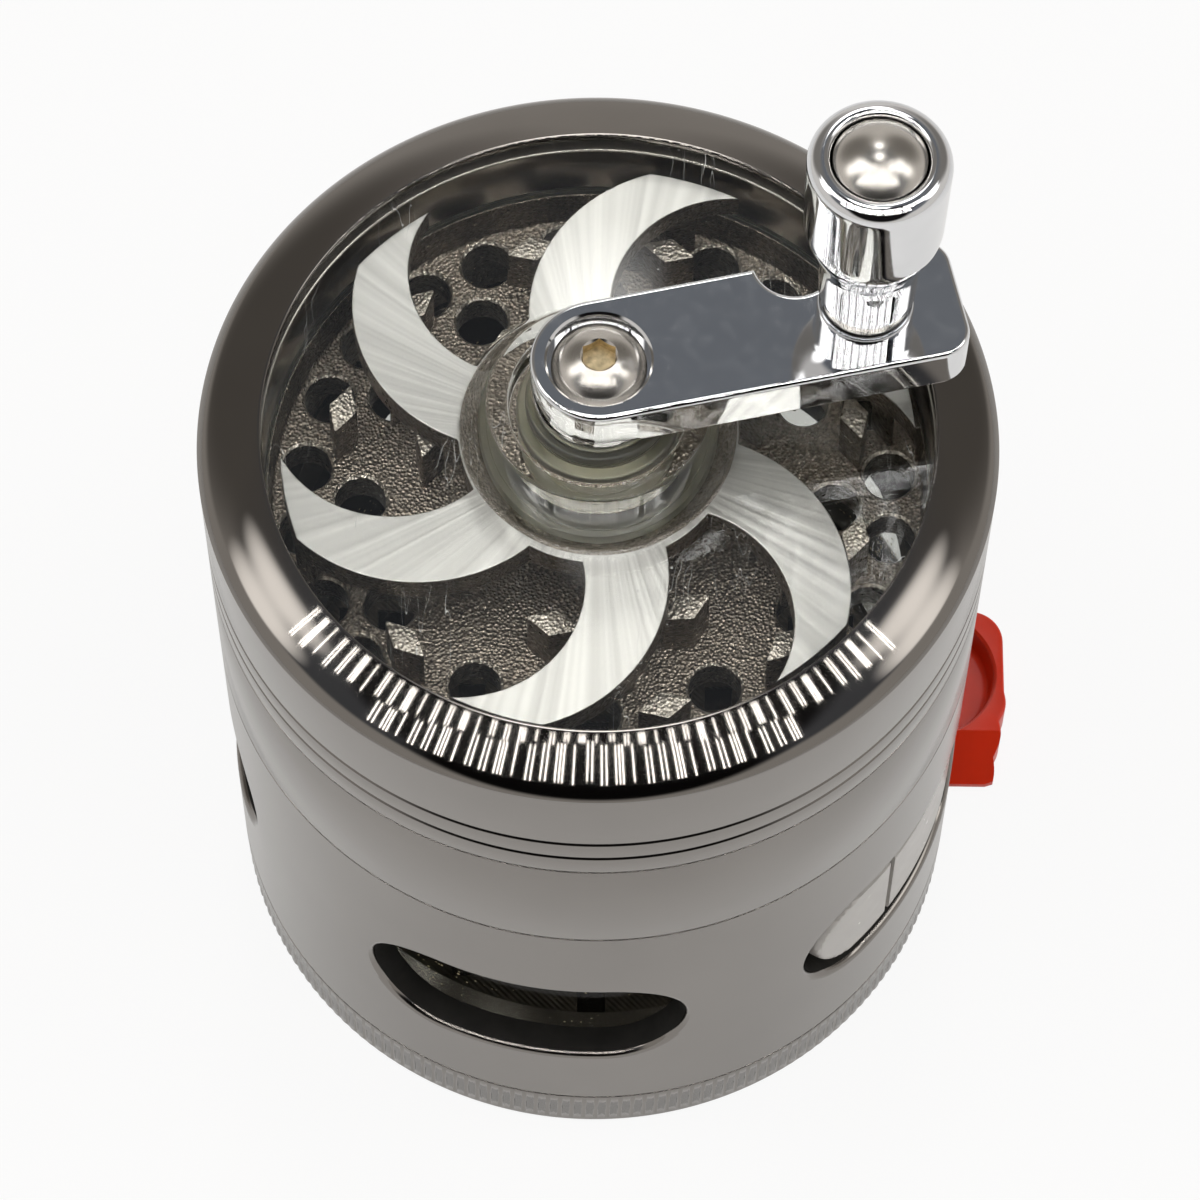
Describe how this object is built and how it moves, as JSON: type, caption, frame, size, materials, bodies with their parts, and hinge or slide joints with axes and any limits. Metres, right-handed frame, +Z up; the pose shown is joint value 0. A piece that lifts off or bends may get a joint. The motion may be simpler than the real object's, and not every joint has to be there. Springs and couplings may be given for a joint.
{
  "type": "hand-crank spice grinder",
  "caption": "Hand-crank spice grinder: stacked metal housing with a windowed catch chamber, clear lid, crescent-armed rotor, crank with a turning knob, and a loose scraper.",
  "frame": {"origin": "middle of the flat face that the grinder stands on, on the housing's axis", "axes": "+Z up along the housing's axis, towards the crank; -Y towards the picture's camera, +X to its right"},
  "size_m": [0.0687, 0.063, 0.1012],
  "materials": {
    "housing": "polished dark nickel plating on cast zinc alloy",
    "blasted_nickel": "bead-blasted dark nickel plating on cast zinc alloy",
    "clear_acrylic": "clear moulded acrylic",
    "clear_film": "clear rolled plastic sheet",
    "screen_wire": "woven stainless steel wire",
    "plain_steel": "turned stainless steel",
    "nylon": "natural nylon",
    "satin_rotor": "bead-blasted satin nickel",
    "bright_chrome": "polished chrome plating on cast zinc alloy",
    "screw_steel": "polished stainless steel",
    "red_plastic": "glossy moulded plastic"
  },
  "bodies": {
    "base": {"base_pan": "housing"},
    "window_section": {"window_body": "housing", "window_liner": "clear_film", "sieve_mesh": "screen_wire", "sieve_ring": "plain_steel"},
    "grinding_section": {"grinding_body": "blasted_nickel", "friction_ring": "nylon"},
    "lid": {"lid_ring": "housing", "lid_sleeve": "blasted_nickel", "clear_lid": "clear_acrylic", "shaft_bush": "nylon"},
    "crank": {"drive_shaft": "plain_steel", "thrust_washer": "nylon", "rotor": "satin_rotor", "rotor_washer": "plain_steel", "rotor_screw": "plain_steel", "spacer_washer": "nylon", "arm_collar": "bright_chrome", "crank_arm": "bright_chrome", "pivot_screw": "screw_steel", "knob_pin": "screw_steel", "knob_washer": "plain_steel"},
    "knob": {"knob": "bright_chrome"},
    "scraper": {"scraper": "red_plastic"}
  },
  "joints": [
    {"name": "window_lift", "type": "slide", "parent": "base", "child": "window_section", "axis": [0, 0, 1], "range_m": [0, 0.02]},
    {"name": "grinding_lift", "type": "slide", "parent": "window_section", "child": "grinding_section", "axis": [0, 0, 1], "range_m": [0, 0.02]},
    {"name": "lid_lift", "type": "slide", "parent": "grinding_section", "child": "lid", "axis": [0, 0, 1], "range_m": [0, 0.03]},
    {"name": "crank_turn", "type": "hinge", "parent": "lid", "child": "crank", "pos_m": [0, 0, 0.07], "axis": [0, 0, 1], "continuous": true},
    {"name": "knob_spin", "type": "hinge", "parent": "crank", "child": "knob", "pos_m": [0.02046, 0.00606, 0.09], "axis": [0, 0, 1], "continuous": true},
    {"name": "scraper_lift", "type": "slide", "parent": "base", "child": "scraper", "axis": [0, 0, 1], "range_m": [0, 0.045]}
  ]
}
